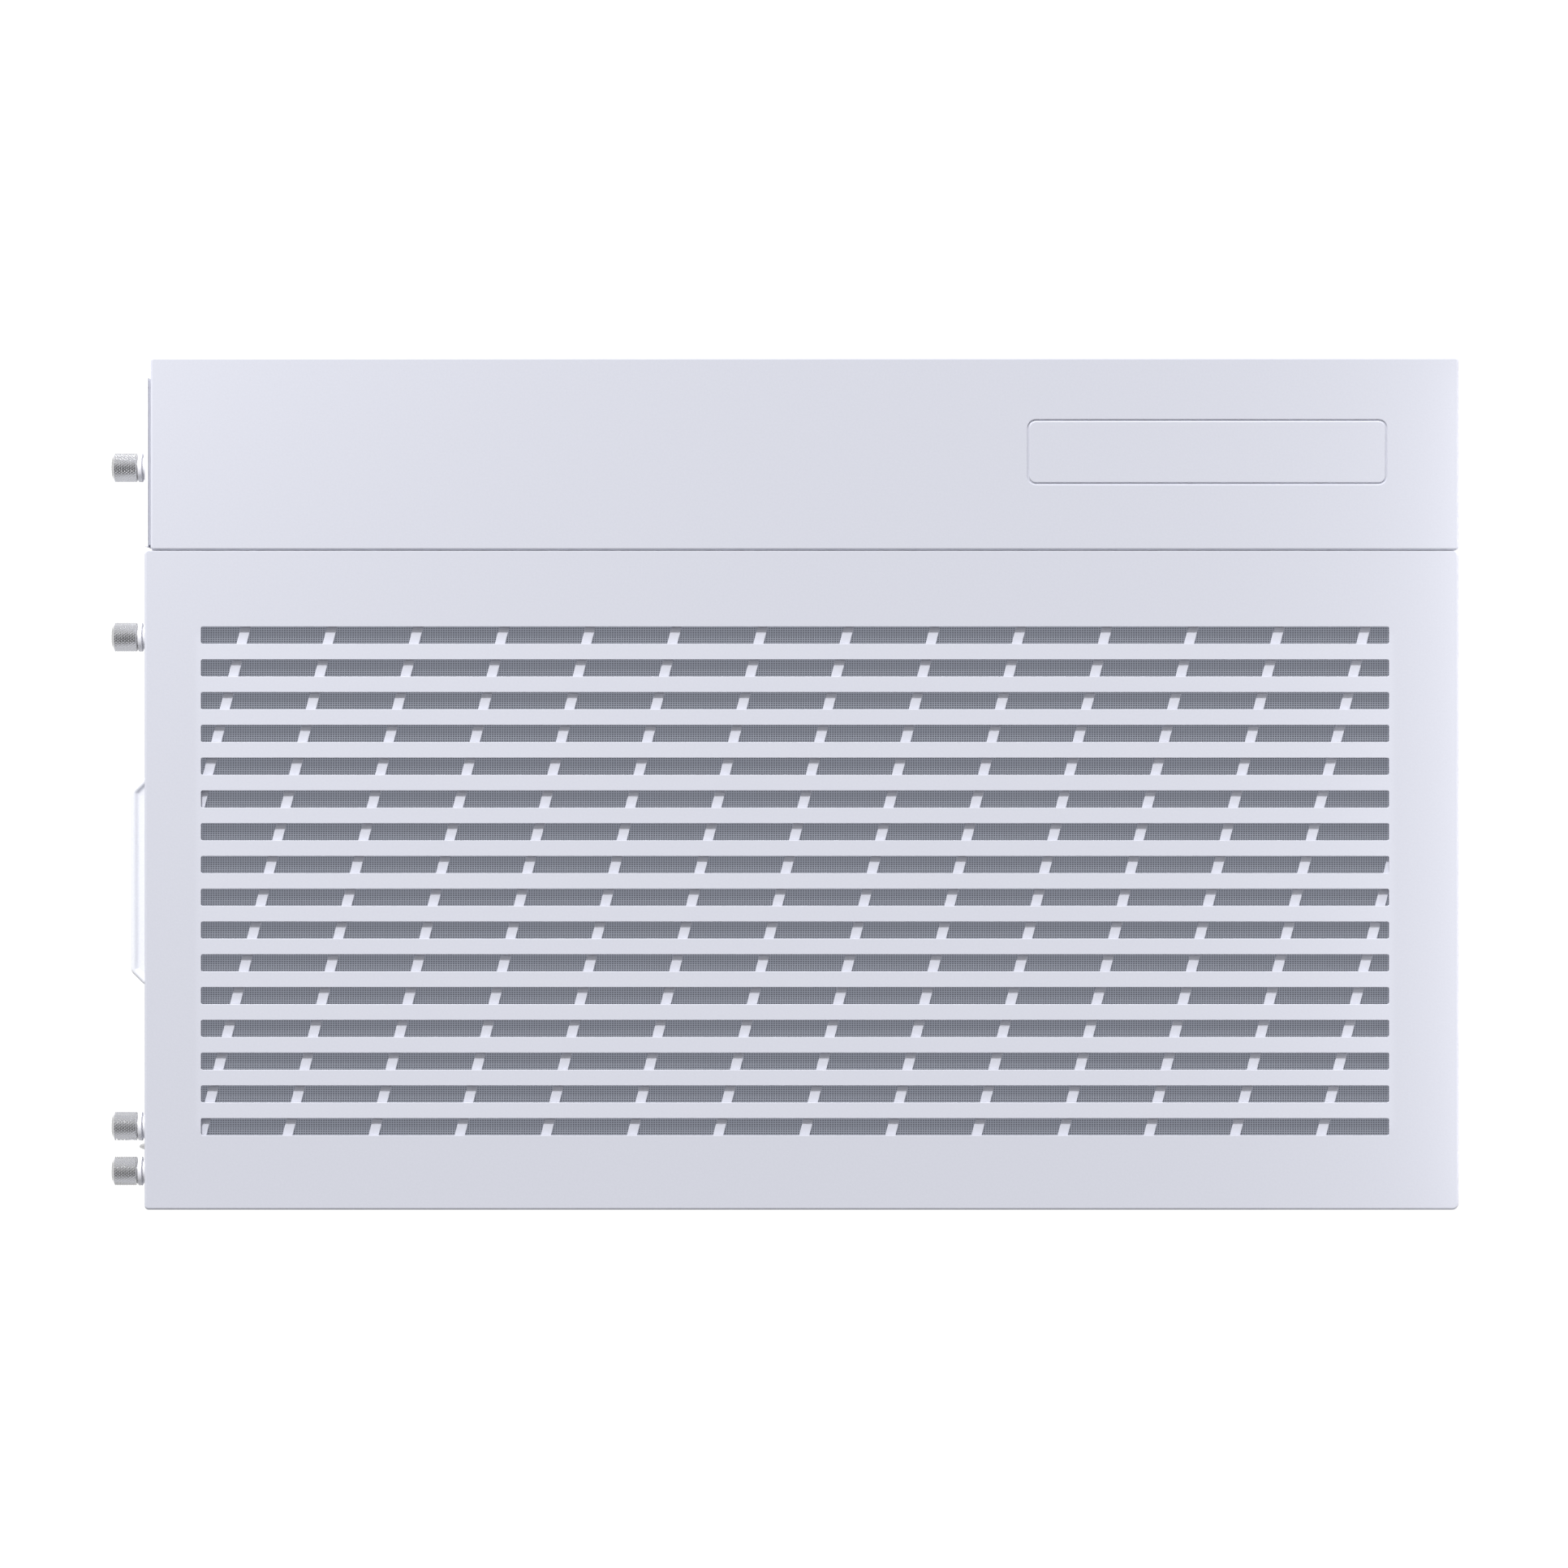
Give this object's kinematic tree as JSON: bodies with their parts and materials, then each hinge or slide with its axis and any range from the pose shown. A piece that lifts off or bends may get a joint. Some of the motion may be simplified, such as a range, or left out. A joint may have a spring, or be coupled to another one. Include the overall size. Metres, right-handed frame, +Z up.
{
  "type": "computer tower case",
  "caption": "White dual-chamber computer tower case: slatted, filtered top panel, glass front and left side, steel side chamber, captive thumbscrews at the rear.",
  "frame": {"origin": "bottom centre of the whole case, on the floor under the foot pads", "axes": "+X towards the front, -X towards the rear with its thumbscrews, -Y towards the glass side, +Y towards the steel side chamber, +Z up"},
  "size_m": [0.4756, 0.3, 0.465],
  "materials": {
    "white_steel": "fine matt powder coat, cool white",
    "white_rib": "matt powder coat, white",
    "clear_glass": "polished tempered glass, lightly tinted",
    "knurled_steel": "nickel-plated, diamond-knurled",
    "white_collar": "white moulded plastic",
    "filter_mesh": "woven dust-filter mesh, grey",
    "filter_frame": "white moulded plastic",
    "black_plastic": "satin black moulded plastic",
    "rubber": "matt black rubber",
    "port_metal": "nickel-plated stamped shell",
    "stud_steel": "zinc-plated",
    "button_white": "white moulded plastic, satin",
    "circuit_board": "solder mask"
  },
  "bodies": {
    "frame": {"base_pan": "white_steel", "rear_wall": "white_steel", "motherboard_tray": "white_steel", "side_fan_bracket": "white_steel", "top_bracket": "white_steel", "front_left_post": "white_steel", "psu_cradle": "black_plastic", "slot_cover_1": "white_steel", "slot_cover_2": "white_steel", "slot_cover_3": "white_steel", "slot_cover_4": "white_steel", "slot_cover_5": "white_steel", "slot_cover_6": "white_steel", "slot_cover_7": "white_steel", "slot_cover_clamp": "white_steel", "side_front_column": "white_steel", "side_top_cover": "white_steel", "top_blank_plate": "white_steel", "front_glass": "clear_glass", "rear_stud": "stud_steel", "grommet_1": "rubber", "grommet_2": "rubber", "io_panel": "white_steel", "io_board": "circuit_board", "usb_a_port_1": "port_metal", "usb_a_port_2": "port_metal", "usb_c_port": "port_metal", "audio_jack": "black_plastic", "foot_1": "black_plastic", "foot_2": "black_plastic", "foot_3": "black_plastic", "foot_4": "black_plastic", "foot_pad_1": "rubber", "foot_pad_2": "rubber", "foot_pad_3": "rubber", "foot_pad_4": "rubber"},
    "top_panel": {"top_vent_panel": "white_steel", "slanted_rib_grille": "white_rib", "top_filter_mesh": "filter_mesh", "top_filter_frame": "filter_frame", "top_thumbscrew_1_collar": "white_collar", "top_thumbscrew_2_collar": "white_collar"},
    "top_screw_1": {"top_thumbscrew_1": "knurled_steel"},
    "top_screw_2": {"top_thumbscrew_2": "knurled_steel"},
    "left_panel": {"left_glass": "clear_glass", "left_panel_rail": "white_steel", "left_thumbscrew_1_collar": "white_collar", "left_thumbscrew_2_collar": "white_collar"},
    "left_screw_1": {"left_thumbscrew_1": "knurled_steel"},
    "left_screw_2": {"left_thumbscrew_2": "knurled_steel"},
    "psu_carrier": {"psu_backplate": "white_steel", "psu_thumbscrew_1_collar": "white_collar", "psu_thumbscrew_2_collar": "white_collar"},
    "psu_screw_1": {"psu_thumbscrew_1": "knurled_steel"},
    "psu_screw_2": {"psu_thumbscrew_2": "knurled_steel"},
    "right_panel": {"right_side_panel": "white_steel"},
    "bottom_filter": {"bottom_filter_frame": "black_plastic", "bottom_filter_mesh": "filter_mesh"},
    "power_button": {"power_button": "button_white"},
    "reset_button": {"reset_button": "button_white"}
  },
  "joints": [
    {"name": "top_panel_slide", "type": "slide", "parent": "frame", "child": "top_panel", "axis": [-1, 0, 0], "range_m": [0, 0.014]},
    {"name": "top_thumbscrew_1_turn", "type": "hinge", "parent": "top_panel", "child": "top_screw_1", "pos_m": [-0.2257, 0.05195, 0.4465], "axis": [1, 0, 0], "continuous": true},
    {"name": "top_thumbscrew_2_turn", "type": "hinge", "parent": "top_panel", "child": "top_screw_2", "pos_m": [-0.2257, -0.12156, 0.4465], "axis": [1, 0, 0], "continuous": true},
    {"name": "left_panel_slide", "type": "slide", "parent": "frame", "child": "left_panel", "axis": [-1, 0, 0], "range_m": [0, 0.014]},
    {"name": "left_thumbscrew_1_turn", "type": "hinge", "parent": "left_panel", "child": "left_screw_1", "pos_m": [-0.2257, -0.1375, 0.4465], "axis": [1, 0, 0], "continuous": true},
    {"name": "left_thumbscrew_2_turn", "type": "hinge", "parent": "left_panel", "child": "left_screw_2", "pos_m": [-0.2257, -0.1375, 0.045], "axis": [1, 0, 0], "continuous": true},
    {"name": "psu_carrier_slide", "type": "slide", "parent": "frame", "child": "psu_carrier", "axis": [-1, 0, 0], "range_m": [0, 0.16]},
    {"name": "psu_thumbscrew_1_turn", "type": "hinge", "parent": "psu_carrier", "child": "psu_screw_1", "pos_m": [-0.2257, 0.11204, 0.4465], "axis": [1, 0, 0], "continuous": true},
    {"name": "psu_thumbscrew_2_turn", "type": "hinge", "parent": "psu_carrier", "child": "psu_screw_2", "pos_m": [-0.2257, 0.11204, 0.04], "axis": [1, 0, 0], "continuous": true},
    {"name": "right_panel_pull", "type": "slide", "parent": "frame", "child": "right_panel", "axis": [0, 1, 0], "range_m": [0, 0.06]},
    {"name": "bottom_filter_slide", "type": "slide", "parent": "frame", "child": "bottom_filter", "axis": [0, -1, 0], "range_m": [0, 0.16]},
    {"name": "power_button_press", "type": "slide", "parent": "frame", "child": "power_button", "axis": [-1, 0, 0], "range_m": [0, 0.0015], "stiffness_N_per_m": 500},
    {"name": "reset_button_press", "type": "slide", "parent": "frame", "child": "reset_button", "axis": [-1, 0, 0], "range_m": [0, 0.001], "stiffness_N_per_m": 400}
  ]
}
